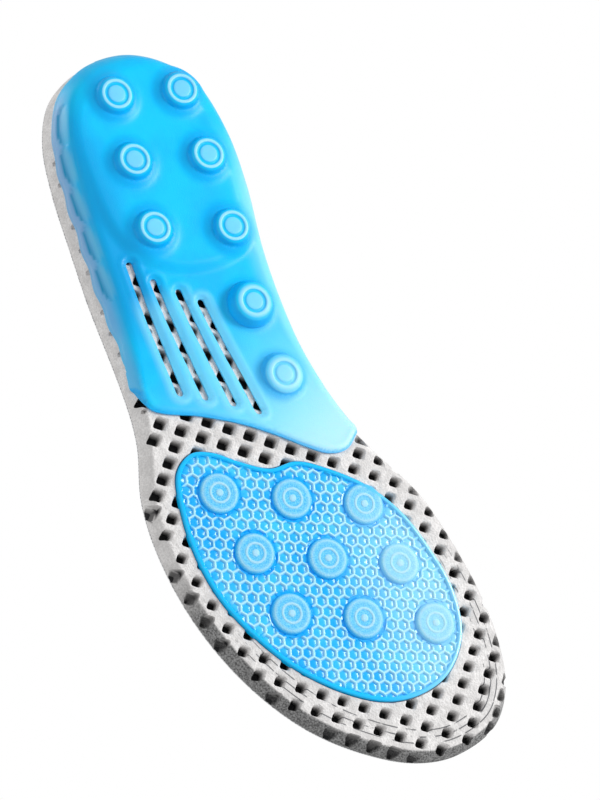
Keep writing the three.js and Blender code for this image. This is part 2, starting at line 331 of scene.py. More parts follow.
# %% The rim
RIM = [
    (-8.2, -6.5), (-6.6, -19), (1, -31.4), (13, -39.8), (33, -42.8), (55, -41), (78, -36.6),
    (100, -34.4), (125, -34), (146, -35.6), (164, -40.8), (182, -49), (200, -52.8),
    (222, -54.8), (242, -53.5), (258, -48.4), (269, -38), (273.2, -20), (270, -4), (260, 13),
    (244, 30), (222, 43.5), (197, 51.8), (171, 54.4), (150, 52), (130, 44.3), (108, 38.6),
    (85, 34), (55, 30.4), (32, 27.6), (14, 23.2), (0.6, 15), (-6.3, 4),
]
rim = closed_curve(RIM, 2.0)
foam_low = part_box("foam_body_rear")[0]
side_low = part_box("foam_body_front")[0]
HEEL_X = rim[:, 0].min() - foam_low.x * 1000  # the frame's origin, from the back of the heel
HEEL_Y = rim[:, 1].min() - side_low.y * 1000
print("outline, mm:", np.ptp(rim, axis=0).round(1), "origin at", round(HEEL_X, 2), round(HEEL_Y, 2))

# %% [markdown]
# ## The surfaces
# The foam is thin and flat under the forefoot and rises round the heel and the arch into a cup.
# Its upper and lower surfaces are two heights over the plan, each a blend between a few chosen
# levels. They curve up near the rim by a power of the distance from it, which keeps the middle
# flat and the wall steep.

# %% Heights
def ahead(line, xy):
    """Distance ahead of a line across the sole."""
    x, y, slant = line
    a = math.radians(slant)
    return (xy[:, 0] - x) * math.cos(a) + (xy[:, 1] - y) * math.sin(a)


WAIST, BALL, TOE = (151, -5, 33), (180.2, -0.5, 23.6), (254.5, -10, 24)


def middle_y(x):
    return blend_of(-5, -3, smooth(x, 30, 230))


def medial(xy):
    return smooth(middle_y(xy[:, 0]) - xy[:, 1], -10, 10)


RIM_HEEL, RIM_EDGE, ARCH_RISE = 22, 1.2, 5  # the rim's height, its foam, and its rise at the arch
HEEL_TOP, HEEL_UNDER = 11.5, 7  # levels of the foam under the heel
FOREFOOT_TOP, FOREFOOT_UNDER = 7.3, 1.8


def rim_height(x, arch):
    """Height of the rim, where arch is 0 on the outer side and 1 on the arch side."""
    outer = blend_of(RIM_HEEL, FOREFOOT_TOP, smooth(x, 70, 135))
    rise = ARCH_RISE * bell(x, 98, 34) * (1 - smooth(x, 120, 172))
    inner = blend_of(RIM_HEEL, FOREFOOT_TOP, smooth(x, 105, 172)) + rise
    return blend_of(outer, inner, arch)


LIP = 2.4


def foam_top(xy, inset):
    bottom = blend_of(HEEL_TOP, FOREFOOT_TOP, smooth(ahead(WAIST, xy), -58, -2))
    arch = bell(xy[:, 0], 110, 34) * medial(xy)
    t = np.clip((inset - LIP) / blend_of(13, 27, arch), 0, 1)
    return blend_of(bottom, rim_height(xy[:, 0], medial(xy)), (1 - t) ** 2.2)


def foam_under(xy, inset):
    forward = smooth(ahead(WAIST, xy), -48, 4)
    under = blend_of(HEEL_UNDER, FOREFOOT_UNDER, forward)
    t = np.clip(inset / blend_of(7, 3.2, forward), 0, 1)
    curve = (1 - t) ** blend_of(2.2, 1.2, forward)
    return blend_of(under, rim_height(xy[:, 0], medial(xy)) - RIM_EDGE, curve)


# %% [markdown]
# ## From surfaces to solid pieces
# A layer is a shell between two surfaces. Rings of points run round it, each a step further in
# from the rim, so the mesh is finest on the wall, where the shape turns. Holes, slots and joins
# are cut with booleans afterwards, which works because every shell and cutter is closed.

# %% Shells
def rings(line, distances, inner):
    """The line moved in towards the middle of the foot: first by the distances, then in
    even steps, of which inner is the number."""
    x = np.clip(line[:, 0], 28, 236)
    gap = np.stack([x, middle_y(x)], 1) - line
    length = np.linalg.norm(gap, axis=1)[:, None]
    edge = distances[-1] / length
    shares = [d / length for d in distances]
    shares += [edge + (0.98 - edge) * (k + 1) / inner for k in range(inner)]
    return np.array([line + gap * share for share in shares])


def middle_strip(inner):
    """Triangles that close the innermost ring, from the heel end to the toe end."""
    count, x, faces = len(inner), inner[:, 0], []
    arch, outer = 0, 0
    while arch + outer < count - 1:
        a, b = arch, (count - outer) % count
        if x[a + 1] <= x[count - outer - 1]:
            face, arch = [a, a + 1, b], arch + 1
        else:
            face, outer = [a, count - outer - 1, b], outer + 1
        if len(set(face)) == 3:
            faces.append(face)
    return faces


def shell(name, upper, lower):
    """A closed mesh between two stacks of rings, each from the rim inwards."""
    stack = np.concatenate([upper[::-1], lower])
    count = stack.shape[1]
    i = np.arange(count)
    j = (i + 1) % count
    faces = []
    for r in range(len(stack) - 1):
        a, b = r * count, (r + 1) * count
        faces += np.stack([a + i, b + i, b + j, a + j], 1).tolist()
    last = (len(stack) - 1) * count
    for face in middle_strip(stack[0]):
        faces += [face, [last + v for v in reversed(face)]]
    return new_piece(name, stack.reshape(-1, 3), faces)


def volume(mesh):
    """Volume in cubic millimetres: negative if the faces look inwards."""
    look = bmesh.new()
    look.from_mesh(mesh)
    size = look.calc_volume(signed=True)
    look.free()
    return size


def new_piece(name, points, faces):
    mesh = bpy.data.meshes.new(name)
    mesh.from_pydata(np.asarray(points, float).tolist(), [], faces)
    if volume(mesh) < 0:
        mesh.flip_normals()
    piece = bpy.data.objects.new(name, mesh)
    bpy.context.scene.collection.objects.link(piece)
    return piece


def boolean(piece, operation, tool):
    """Cuts, joins or intersects piece with tool, which is then removed."""
    change = piece.modifiers.new("change", "BOOLEAN")
    change.operation, change.solver, change.object = operation, "MANIFOLD", tool
    made = bpy.data.meshes.new_from_object(
        piece.evaluated_get(bpy.context.evaluated_depsgraph_get()))
    piece.modifiers.remove(change)
    old = piece.data
    print(f"{operation.lower()} {piece.name}: {volume(old):.0f} to {volume(made):.0f} mm3")
    piece.data = made
    bpy.data.meshes.remove(old)
    bpy.data.objects.remove(tool)


def copy_of(piece, name):
    made = bpy.data.objects.new(name, piece.data.copy())
    bpy.context.scene.collection.objects.link(made)
    return made


# %% Solid tools
class Tools:
    """Collects closed bodies that don't touch, to cut or join in one go."""

    def __init__(self):
        self.points, self.faces = [], []

    def loft(self, sections):
        """A body through sections with the same number of points, each counter-clockwise
        as seen from above, from the lowest up."""
        base = len(self.points)
        count = len(sections[0])
        for section in sections:
            self.points += [tuple(p) for p in section]
        for s in range(len(sections) - 1):
            a, b = base + s * count, base + (s + 1) * count
            for i in range(count):
                j = (i + 1) % count
                self.faces.append((a + i, a + j, b + j, b + i))
        self.faces.append(tuple(range(base + count - 1, base - 1, -1)))
        top = base + (len(sections) - 1) * count
        self.faces.append(tuple(range(top, top + count)))

    def prism(self, outline, low, high):
        self.loft([np.c_[outline, np.full(len(outline), z)] for z in (low, high)])

    def turned(self, centre, profile, sides=72):
        """A turned body: profile is radius and height, from the lowest centre out and up."""
        angle = np.linspace(0, 2 * math.pi, sides, endpoint=False)
        around = np.stack([np.cos(angle), np.sin(angle)], 1)
        base = len(self.points)
        rounds = [(r, z) for r, z in profile if r > 0]
        for r, z in rounds:
            xy = np.array(centre) + r * around
            self.points += [(x, y, z) for x, y in xy]
        for s in range(len(rounds) - 1):
            a, b = base + s * sides, base + (s + 1) * sides
            for i in range(sides):
                j = (i + 1) % sides
                self.faces.append((a + i, a + j, b + j, b + i))
        low = len(self.points)
        self.points += [(*centre, profile[0][1]), (*centre, profile[-1][1])]
        top = base + (len(rounds) - 1) * sides
        for i in range(sides):
            j = (i + 1) % sides
            self.faces.append((low, base + j, base + i))
            self.faces.append((low + 1, top + i, top + j))

    def piece(self, name="tool"):
        return new_piece(name, self.points, self.faces)


FOAM_SKIN, COVER_BACK, COVER_FACE = 0.36, 0.47, 1.45  # above the height of foam_top


def heights(xy):
    """Distance inside the rim, and the foam's under and upper surface."""
    inset = distance_to(rim, xy)
    return inset, foam_under(xy, inset), foam_top(xy, inset)


def finish_piece(piece, materials, sharp_degrees, masks=None):
    """Moves a piece into the frame, stores where its points lie, and smooths its shading."""
    mesh = piece.data
    mesh.validate()
    co = np.zeros(len(mesh.vertices) * 3)
    mesh.vertices.foreach_get("co", co)
    points = co.reshape(-1, 3)
    rest = mesh.attributes.new("rest_mm", "FLOAT_VECTOR", "POINT")
    rest.data.foreach_set("vector", points.ravel())
    for name, values in (masks(points) if masks else {}).items():
        store = mesh.attributes.new(name, "FLOAT", "POINT")
        store.data.foreach_set("value", np.clip(values, 0, 1))
    moved = (points - (HEEL_X, HEEL_Y, 0)) / 1000
    mesh.vertices.foreach_set("co", moved.ravel())
    mesh.materials.clear()
    for material in materials:
        mesh.materials.append(material)
    mesh.polygons.foreach_set("material_index", np.zeros(len(mesh.polygons), np.int32))
    mesh.shade_smooth()
    mesh.set_sharp_from_angle(angle=math.radians(sharp_degrees))
    mesh.update()
    print(piece.name, len(mesh.vertices), "points")


# %% Outlines of the gel and the pad
# Most ends of the slots, and four points each of the gel's outline and the pad's, are measured
# values or within half a millimetre of them. So were the feet at first.
GEL_OUTLINE = [
    (-14, -8), (-4, -44), (60, -50), (110, -50), (146, -43), (155, -33), (158.5, -27),
    (157.5, -20), (152.3, -12.6), (145.8, -5.1), (137.3, 6.1), (129.5, 19.8), (121, 37),
    (112, 39), (107, 46), (80, 44), (30, 40), (-8, 24),
]
PLATFORM = [
    (-0.5, -8), (2, -21), (14, -32), (36, -35), (60, -31.5), (76, -24), (78, -6), (70, 12),
    (56, 19.5), (36, 20.5), (16, 17.5), (4, 8),
]
PAD = [
    (140.4, 30), (142.5, 22.6), (149, 14), (155.2, 4), (156, -6.5), (163, -17.6), (174, -29.3),
    (187, -37), (203, -41.3), (219, -42.8), (235, -38.5), (246, -27), (249, -13), (246.5, 0),
    (238, 13.5), (224, 27), (208, 36.6), (192, 42.6), (175, 44.4), (158, 42.4), (145, 37.8),
]
HEEL_NUBS = [
    (9.4, -1.5), (14.9, -26.5), (34.2, 2.7), (40.7, -25.4), (60, 6.4), (68.6, -22.4),
    (97, -17.6), (125.3, -16.6),
]
SLOTS = [
    ((69, 19.3), (118.8, 23.8)), ((77.6, 13.3), (123.2, 15.3)), ((84, 5.8), (128.7, 6.1)),
    ((90.1, -0.6), (134.5, -1.7)),
]
gel_outline = closed_curve(GEL_OUTLINE, 1.0)
platform = closed_curve(PLATFORM, 1.5)
pad = closed_curve(PAD, 1.2)


def normals_of(line):
    """Outward normals of a counter-clockwise closed line."""
    run = np.roll(line, -1, axis=0) - np.roll(line, 1, axis=0)
    run /= np.linalg.norm(run, axis=1)[:, None]
    return np.stack([run[:, 1], -run[:, 0]], 1)


# %% [markdown]
# ## Foam body
# The real body is one moulded sheet of open-cell foam with a fine skin, punched with a slanted
# grid of rounded square holes. Each hole is cut with a tapered tool that is wider at the skin,
# which leaves the soft pale lip that a punched hole has. Only the holes that can be seen are cut.

# %% Foam shell and its holes
# the grid's start and its two steps, rounded from a least-squares fit to centres of holes
HOLE_START = np.array([251.0, -31.3])
HOLE_ROW = np.array([4.62, 4.70])
HOLE_COLUMN = np.array([-4.87, 6.42])
FOAM_RINGS = [0, 0.3, 0.7, 1.2, 1.8, 2.4, 3.0, 3.6, 4.4, 5.4, 6.6, 8, 9.6, 11.5]


def make_foam():
    plan = rings(rim, FOAM_RINGS, 12)
    flat = plan.reshape(-1, 2)
    _, under, top = heights(flat)
    shape = plan.shape[:2] + (1,)
    upper = np.concatenate([plan, (top + FOAM_SKIN).reshape(shape)], 2)
    lower = np.concatenate([plan, under.reshape(shape)], 2)
    return shell("foam", upper, lower)


def hole_places():
    """The points of the grid where a hole shows, and how wide each hole is."""
    i, j = np.meshgrid(np.arange(-60, 30), np.arange(-30, 60))
    xy = HOLE_START + i.reshape(-1, 1) * HOLE_ROW + j.reshape(-1, 1) * HOLE_COLUMN
    xy = xy[(xy[:, 0] > 60) & (xy[:, 0] < 275) & (abs(xy[:, 1]) < 60)]
    inside = within(rim, xy)
    keep = inside > -0.6
    keep &= within(pad, xy) < 3.2
    near_slot = np.min([to_segment(a, b, xy) for a, b in SLOTS], axis=0) < 4.5
    under_gel = within(gel_outline, xy) > 2.2
    keep &= ~under_gel | near_slot
    keep &= (xy[:, 0] > 112) | near_slot
    keep &= ~((inside < 3.0) & (xy[:, 0] < 150))
    return xy[keep], inside[keep]


def rounded_square(centre, half, corner):
    """A rounded parallelogram along the grid of holes."""
    u = HOLE_ROW / np.linalg.norm(HOLE_ROW)
    w = HOLE_COLUMN / np.linalg.norm(HOLE_COLUMN)
    points = []
    for k in range(4):
        sx, sy = ((1, 1), (-1, 1), (-1, -1), (1, -1))[k]
        for t in range(5):
            a = math.radians(90 * k + 22.5 * t)
            px = sx * (half - corner) + corner * math.cos(a)
            py = sy * (half - corner) + corner * math.sin(a)
            points.append(centre + px * u + py * w)
    return np.array(points)


def punch_holes(foam):
    places, inside = hole_places()
    _, under, _ = heights(places)
    tools = Tools()
    for xy, edge, z in zip(places, inside, under):
        wide = 1 + 0.2 * smooth(-xy[0], -168, -152)
        steps = [(-6, 2.7), (-0.1, 2.5), (0.15, 2.15), (0.5, 1.9), (1.0, 1.76), (20, 1.7)]
        if edge < 2.7:  # at the rim a hole is only a notch that runs out to a point
            steps = steps[:4] + [(3.6, 0.3)]
        tools.loft([np.c_[rounded_square(xy, half * wide, min(1.0, 0.8 * half)),
                          np.full(20, z + rise)] for rise, half in steps])
    boolean(foam, "DIFFERENCE", tools.piece())
    print("square holes:", len(places))


NICKS = (23.0, 31.0, 47.0, 56.0, 64.5, 80.0, 88.5, 97.0, 112.0, 120.5)


def nick_wall(foam):
    """Small nicks in the outer wall, where the grid of holes comes out above the gel."""
    tools = Tools()
    edge, depths = rim[rim[:, 1] > 0], np.arange(0, 5, 0.05)
    for x in NICKS:
        y = edge[np.argmin(abs(edge[:, 0] - x))][1]
        down = np.c_[np.full(100, x), y - depths]
        z = heights(down)[1]
        at = np.argmin(abs(z - rim_height(x, 0.0) + 6.3))
        tools.loft([np.c_[rounded_square(down[at], half, 0.5), np.full(20, z[at] + rise)]
                    for rise, half in ((-1.6, 0.5), (0.0, 1.0), (1.8, 0.7))])
    boolean(foam, "DIFFERENCE", tools.piece())


POCKET_GAP, POCKET_TOP = 0.35, 3.62


def cut_pocket(foam):
    tools = Tools()
    tools.prism(pad + POCKET_GAP * normals_of(pad), -5, POCKET_TOP)
    boolean(foam, "DIFFERENCE", tools.piece())


foam = make_foam()
punch_holes(foam)
nick_wall(foam)
cut_pocket(foam)

# %% [markdown]
# The insole bends at three lines, and a blend follows only one joint. So each long layer is
# divided into three closed pieces, on lines that lie between two bending zones, where the foam
# on both sides of the cut moves as one.

# %% Dividing a layer
DIVIDE_1 = (160.8, 0, 28.1)
DIVIDE_2 = (219.5, 0, 24)


def slab_ahead(line, low, high):
    """A block across the sole, from low to high millimetres ahead of a line."""
    x, y, slant = line
    a = math.radians(slant)
    forward, across = np.array([math.cos(a), math.sin(a)]), np.array([-math.sin(a), math.cos(a)])
    corners = [(low, -200), (high, -200), (high, 200), (low, 200)]
    outline = np.array([np.array([x, y]) + f * forward + c * across for f, c in corners])
    tools = Tools()
    tools.prism(outline, -20, 60)
    return tools.piece()


def divide(piece, names):
    """Three closed pieces of a layer: heel, ball and toe."""
    heel, ball, toe = (copy_of(piece, name) for name in names)
    boolean(heel, "INTERSECT", slab_ahead(DIVIDE_1, -300, 0))
    boolean(ball, "INTERSECT", slab_ahead(DIVIDE_1, 0, 300))
    boolean(ball, "INTERSECT", slab_ahead(DIVIDE_2, -300, 0))
    boolean(toe, "INTERSECT", slab_ahead(DIVIDE_2, 0, 300))
    bpy.data.objects.remove(piece)
    return heel, ball, toe


# joint, first and last millimetre of the bend, and the bodies behind and ahead of it
BENDS = [(WAIST, -13, 5, "rear", "ball"), (BALL, -12, 12, "ball", "front"),
         (TOE, -5, 11, "front", "toe")]
BEND_STEP = 1.5


def score(piece, line, before, after, *bodies):
    """Adds edges across a piece where it will bend, so that every layer bends alike."""
    x, y, slant = line
    a = math.radians(slant)
    ahead_of = (math.cos(a), math.sin(a), 0)
    work = bmesh.new()
    work.from_mesh(piece.data)
    bmesh.ops.triangulate(work, faces=work.faces)
    for d in np.arange(before, after + 0.1, BEND_STEP):
        bmesh.ops.bisect_plane(work, geom=work.verts[:] + work.edges[:] + work.faces[:],
                               dist=1e-5, plane_no=ahead_of,
                               plane_co=(x + d * ahead_of[0], y + d * ahead_of[1], 0))
    work.to_mesh(piece.data)
    work.free()


def bend_at(piece, line, before, after, body_a, body_b):
    """Bakes the piece's transform into its points. The joint, before, after and the two bodies are
    not used.
    """
    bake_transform(piece)


# %% Foam material
TRIM_LINES = (5.6, 7.9, 10.4)  # fine moulded lines, this far inside the rim of the toe


def make_foam_material():
    material, tree, shader = new_material("grey_foam")
    speckle, cloud = grain(tree, 1.5, 0.22)
    skin = mix(tree, speckle, colour(214, 212, 211), colour(238, 236, 235))
    skin = mix(tree, between(tree, cloud, 0.0, 1.0, 0.0, 0.4), skin, colour(192, 190, 189))
    inset = calc(tree, "MULTIPLY", mask(tree, "inset"), 40.0)
    lines = None
    for at in TRIM_LINES:
        near = between(tree, calc(tree, "ABSOLUTE", calc(tree, "SUBTRACT", inset, at)),
                       0.06, 0.26, 1.0, 0.0)
        lines = near if lines is None else calc(tree, "MAXIMUM", lines, near)
    broken = between(tree, cloud, 0.25, 0.55)
    lines = calc(tree, "MULTIPLY", calc(tree, "MULTIPLY", lines, broken), mask(tree, "trimmed"))
    skin = mix(tree, calc(tree, "MULTIPLY", lines, 0.75), skin, colour(70, 74, 84))
    cut = mix(tree, speckle, colour(92, 92, 92), colour(166, 166, 166))
    # cut foam colour, painted paler on the lit arch side as painted light
    shown = mix(tree, mask(tree, "cut_edge_with_painted_light"), skin, cut)
    # painted shade inside the holes and the rim notches
    shown = mix(tree, mask(tree, "hole_painted_shade"), shown, colour(34, 34, 36))
    tree.links.new(shown, shader.inputs["Base Color"])
    shader.inputs["Roughness"].default_value = 0.85
    shader.inputs["Specular IOR Level"].default_value = 0.2
    relief = calc(tree, "SUBTRACT", calc(tree, "ADD", calc(tree, "MULTIPLY", speckle, 0.35), cloud),
                  lines)
    bump(tree, shader, relief, 0.35)
    return material


def foam_masks(points):
    xy = points[:, :2]
    inset, under, _ = heights(xy)
    forward = smooth(xy[:, 0], 172, 200)
    depth = np.clip(points[:, 2] - under, 0, 30)
    lit_side = medial(xy) * (1 - smooth(xy[:, 0], 252, 270))
    # the darker band of cut foam is its real colour; painting it paler on the lit arch side is
    # painted light
    edge = (1 - smooth(inset, 2.8, 3.2)) * forward * (1 - 0.8 * lit_side)
    near_hole = np.full(len(xy), 99.0)
    for hole in hole_places()[0]:
        near_hole = np.minimum(near_hole, abs(xy - hole).sum(1))
    # painted shade: the walls of the holes and the rim notches get darker with depth
    notch = (near_hole < 3.2) * smooth(depth, 0.3, 1.6) * (inset < 3.4) * (inset > 0.02)
    inner = smooth(depth, 0.7, 3.4) * (near_hole < 4.5) * smooth(inset, 2.4, 3.4)
    return {"cut_edge_with_painted_light": edge, "inset": inset / 40, "trimmed": smooth(xy[:, 0], 196, 222),
            "hole_painted_shade": np.maximum(inner, 0.75 * notch)}


foam_material = make_foam_material()
foam_pieces = divide(foam, ("foam_heel_and_arch", "foam_ball", "foam_toe"))
for piece, bend in zip(foam_pieces, BENDS):
    score(piece, *bend)
    finish_piece(piece, [foam_material], 42, foam_masks)
    bend_at(piece, *bend)
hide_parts("foam_body_rear", "foam_body_ball")
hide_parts("foam_body_front")
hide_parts("foam_body_toe")

# %% [markdown]
# ## Top cover
# The cover is a thin knit, glued over the whole of the foam. It is a shell 1 mm thick, and its
# stitches are far too small to model, so they are a relief and a shade in the material. Its back
# is painted dark, a painted shade that shows black through the holes.

# %% Knit material
def make_knit_group():
    """Rows of small slanted grains, as a mesh knit has. Gives their height and their gaps."""
    group, source, result = make_group(
        "knit", [("Place", "NodeSocketVector", None), ("Grain mm", "NodeSocketFloat", 1.0)],
        [("Height", "NodeSocketFloat"), ("Gap", "NodeSocketFloat")])
    apart = add(group, "ShaderNodeSeparateXYZ", {0: source.outputs["Place"]})
    size = source.outputs["Grain mm"]
    row = calc(group, "DIVIDE", apart.outputs[1], size)
    odd = calc(group, "MULTIPLY", calc(group, "MODULO", calc(group, "FLOOR", row), 2.0), 0.5)
    along = calc(group, "ADD", calc(group, "DIVIDE", apart.outputs[0],
                                    calc(group, "MULTIPLY", size, 1.7)), odd)
    across = calc(group, "SUBTRACT", calc(group, "FRACT", row), 0.5)
    slanted = calc(group, "ADD", along, calc(group, "MULTIPLY", across, 0.35))
    lengthwise = calc(group, "SUBTRACT", calc(group, "FRACT", slanted), 0.5)
    far = calc(group, "ADD", calc(group, "POWER", calc(group, "ABSOLUTE", across), 2.0),
               calc(group, "POWER", calc(group, "ABSOLUTE", lengthwise), 2.0))
    height = between(group, far, 0.02, 0.3, 1.0, 0.0)
    group.links.new(height, result.inputs["Height"])
    group.links.new(between(group, far, 0.16, 0.34), result.inputs["Gap"])
    return group


KNIT = make_knit_group()


def make_knit_material():
    material, tree, shader = new_material("white_knit")
    stitch = add(tree, "ShaderNodeGroup", node_tree=KNIT)
    tree.links.new(place(tree), stitch.inputs["Place"])
    stitch.inputs["Grain mm"].default_value = 0.9
    speckle, cloud = grain(tree, 5.0, 0.05)
    yarn = mix(tree, speckle, colour(228, 228, 229), colour(250, 250, 251))
    yarn = mix(tree, between(tree, cloud, 0, 1, 0, 0.3), yarn, colour(205, 206, 209))
    shown = mix(tree, stitch.outputs["Gap"], yarn, colour(146, 147, 151))
    tree.links.new(shown, shader.inputs["Base Color"])
    shader.inputs["Roughness"].default_value = 0.95
    shader.inputs["Specular IOR Level"].default_value = 0.2
    shader.inputs["Sheen Weight"].default_value = 0.25
    bump(tree, shader, stitch.outputs["Height"], 0.35)
    return material


def make_back_shade_material():
    # painted shade: the cover's back is painted dark so that the holes show black
    material, tree, shader = new_material("painted_shade_back")
    speckle, _ = grain(tree, 3.0, 0.1)
    tree.links.new(mix(tree, speckle, colour(30, 31, 33), colour(46, 47, 50)),
                   shader.inputs["Base Color"])
    shader.inputs["Roughness"].default_value = 0.7
    return material


# %% Cover pieces
COVER_RINGS = [0, 0.15, 0.4, 0.8, 1.4, 2.0, 2.4, 2.9, 3.6, 4.6, 6, 8, 10.5, 13.5]


def make_cover():
    plan = rings(rim, COVER_RINGS, 12)
    inset, _, top = heights(plan.reshape(-1, 2))
    rounded = 0.35 * (1 - smooth(inset, 0, 0.9))
    shape = plan.shape[:2] + (1,)
    upper = np.concatenate([plan, (top + COVER_FACE - rounded).reshape(shape)], 2)
    lower = np.concatenate([plan, (top + COVER_BACK).reshape(shape)], 2)
    return shell("cover", upper, lower)


def facing_down(mesh):
    """Puts the second material on the faces that look down."""
    for polygon in mesh.polygons:
        polygon.material_index = int(polygon.normal.z < -0.3)


knit, back_shade = make_knit_material(), make_back_shade_material()
cover_pieces = divide(make_cover(), ("cover_heel_and_arch", "cover_ball", "cover_toe"))
for piece, bend in zip(cover_pieces, BENDS):
    score(piece, *bend)
    finish_piece(piece, [knit, back_shade], 50)
    facing_down(piece.data)
    bend_at(piece, *bend)


def area_above(piece):
    return sum(p.area for p in piece.data.polygons if p.normal.z > 0.1)


for piece in cover_pieces:
    print(piece.name, "area m2", round(area_above(piece), 5),
          "box mm", [round(d * 1000) for d in piece.dimensions])
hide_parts("top_cover_rear", "top_cover_ball")
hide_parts("top_cover_front")
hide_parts("top_cover_toe")

# %% [markdown]
# ## Gel cup
# The gel is moulded in one piece: a thin sheet that wraps the heel and the arch, a thicker
# platform, eight round feet, four slots in grooves, and a wavy upper edge with a row of leaf
# shaped hollows below it. The sheet is a shell whose thickness varies over the plan, so all of
# these run into each other softly, as gel from one mould does. The feet are turned bodies.

# %% Gel sheet
GEL_RINGS = [0, 0.1, 0.2, 0.3, 0.4, 0.52, 0.65, 0.8, 0.95, 1.1, 1.27, 1.45, 1.65, 1.87, 2.1, 2.35,
             2.65, 3.0, 3.4, 3.85, 4.4, 5.0, 5.7, 6.4, 7.2]
gel_line = closed_curve(RIM, lambda x: 0.75 + 5 * smooth(x, 160, 175))
LEAF_START, LEAF_PITCH = 13.0, 14.6
GEL_SHEET = 1.75


def gel_edge_height(x, arch):
    """Height of the wavy upper edge of the gel."""
    wave = 0.5 * np.cos(2 * math.pi * (x - LEAF_START) / LEAF_PITCH) * smooth(x, 8, 26)
    wave = wave * (1 - arch)
    below = blend_of(7, 6.4, arch)
    lowest = 7.2 - 3.4 * smooth(x, 98, 126) * (1 - arch)
    return np.maximum(rim_height(x, arch) - below + wave, lowest)


def leaf(xy):
    """Where a point of the outer wall lies in a leaf: u along it, v down it, both from -1 to 1."""
    x = xy[:, 0]
    k = np.clip(np.round((x - LEAF_START) / LEAF_PITCH), 0, 4)
    u = (x - LEAF_START - k * LEAF_PITCH) / (0.53 * LEAF_PITCH)
    v = (within(rim, xy) - 2.7 - 0.35 * u) / (1.6 * np.sqrt(np.clip(1 - u ** 2, 0.01, 1)))
    inside = (abs(u) < 1) & (abs(v) < 1) & (xy[:, 1] > 10)
    return u, v, inside


def gel_thickness(xy, under):
    """Thickness of the gel, outwards from the foam."""
    thick = np.full(len(xy), GEL_SHEET)
    raised = smooth(within(platform, xy), -3.2, 2.2)
    thick += raised * np.clip(under - GEL_SHEET - 3.6, 0, 2)
    for nub in HEEL_NUBS:
        r = np.linalg.norm(xy - nub, axis=1)
        thick += 1.3 * np.exp(-(np.maximum(r - 7.2, 0) / 2.3) ** 2)
    groove = np.min([to_segment(a, b, xy) for a, b in SLOTS], axis=0)
    thick -= 0.8 * (1 - smooth(groove, 1.2, 2.9))
    thick += 0.3 * bell(groove, 3.5, 0.8)
    edge = within(gel_outline, xy)
    front = smooth(xy[:, 0], 96, 112)
    thick -= 0.7 * (1 - smooth(edge, 0.0, 1.4)) * front
    thick += 0.15 * bell(edge, 2.4, 0.9) * front
    side = (xy[:, 1] < middle_y(xy[:, 0])).astype(float)
    drop = gel_edge_height(xy[:, 0], side) - under
    thin = (1 - smooth(drop, 0.2, 3.0)) * (under > 7.6)
    return thick * (1 - 0.6 * thin)


def outwards(plan, thickness):
    """Points pushed square away from the foam's underside."""
    flat = plan.reshape(-1, 2)
    h = 0.15
    centre = foam_under(flat, distance_to(rim, flat))
    slope = []
    for step in ((h, 0), (0, h)):
        a, b = flat + step, flat - step
        rise = foam_under(a, inset_of(a)) - foam_under(b, inset_of(b))
        slope.append(rise / (2 * h))
    normal = np.stack([slope[0], slope[1], -np.ones(len(flat))], 1)
    normal /= np.linalg.norm(normal, axis=1)[:, None]
    base = np.c_[flat, centre]
    return base + normal * (thickness(flat, centre) if callable(thickness) else thickness)[:, None]


def inset_of(xy):
    """Distance inside the rim, which goes on falling outside it."""
    return np.maximum(within(rim, xy), 0)


def make_gel_sheet():
    plan = rings(gel_line, GEL_RINGS, 30)
    inner = outwards(plan, np.full(plan.shape[0] * plan.shape[1], 0.12))
    outer = outwards(plan, gel_thickness)
    _, v, inside = leaf(outer[:, :2])
    hollow = np.where(inside, (1 - v) / 2 * np.clip(1 - v ** 6, 0, 1), 0)
    outer -= (outer - inner) * (0.4 * hollow)[:, None]
    shape = plan.shape[:2] + (3,)
    return shell("gel_heel_cup", inner.reshape(shape), outer.reshape(shape))


SLOT_HALF = 1.35


def trim_gel(gel):
    """Cuts the sheet to its outline and its wavy edge, and opens the slots."""
    tools = Tools()
    tools.prism(gel_outline, -5, 60)
    boolean(gel, "INTERSECT", tools.piece())
    x = np.arange(-14, 172, 1.0)
    for arch, y_low, y_high in ((0.0, -4.5, 90.0), (1.0, -90.0, -4.5)):
        z = gel_edge_height(x, arch)
        section = np.r_[np.c_[x, z], [(171, 90), (-14, 90)]]
        tools = Tools()
        tools.loft([np.c_[section[:, 0], np.full(len(section), y), section[:, 1]]
                    for y in (y_high, y_low)])
        boolean(gel, "DIFFERENCE", tools.piece())
    tools = Tools()
    for start, end in SLOTS:
        a, b = np.array(start), np.array(end)
        turn = math.atan2(*(b - a)[::-1])
        half = np.linspace(-math.pi / 2, math.pi / 2, 9)
        ends = [b + SLOT_HALF * np.c_[np.cos(turn + half), np.sin(turn + half)],
                a - SLOT_HALF * np.c_[np.cos(turn + half), np.sin(turn + half)]]
        tools.prism(np.vstack(ends), -5, 25)
    boolean(gel, "DIFFERENCE", tools.piece())


NUB_PROFILE = [
    (0, 0.03), (1.2, 0.03), (2.4, 0.05), (3.0, 0.1), (3.3, 0.24), (3.5, 0.42), (3.9, 0.48),
    (4.3, 0.40), (4.5, 0.18), (4.68, 0.04), (4.95, 0), (5.25, 0), (5.5, 0.06), (5.8, 0.2),
    (6.2, 0.5), (6.6, 0.95), (7.0, 1.6), (7.4, 2.4), (7.7, 3.2), (7.9, 3.9),
]


def add_nubs(gel):
    for nub in HEEL_NUBS:
        broad = 1.13 if nub[0] > 90 else 1.0  # the two front feet have a broader base
        profile = [(r * (broad if r > 5.6 else 1), z) for r, z in NUB_PROFILE]
        around = np.array([nub]) + 5.0 * np.array([(1, 0), (-1, 0), (0, 1), (0, -1), (0, 0)])
        _, under, _ = heights(around)
        tools = Tools()
        top = max(under.min() - 0.3, 4.0)
        tools.turned(nub, profile + [(7.95 * broad, top), (0, top)])
        boolean(gel, "UNION", tools.piece())


gel = make_gel_sheet()
trim_gel(gel)
add_nubs(gel)
print("gel cup:", len(gel.data.polygons), "faces")


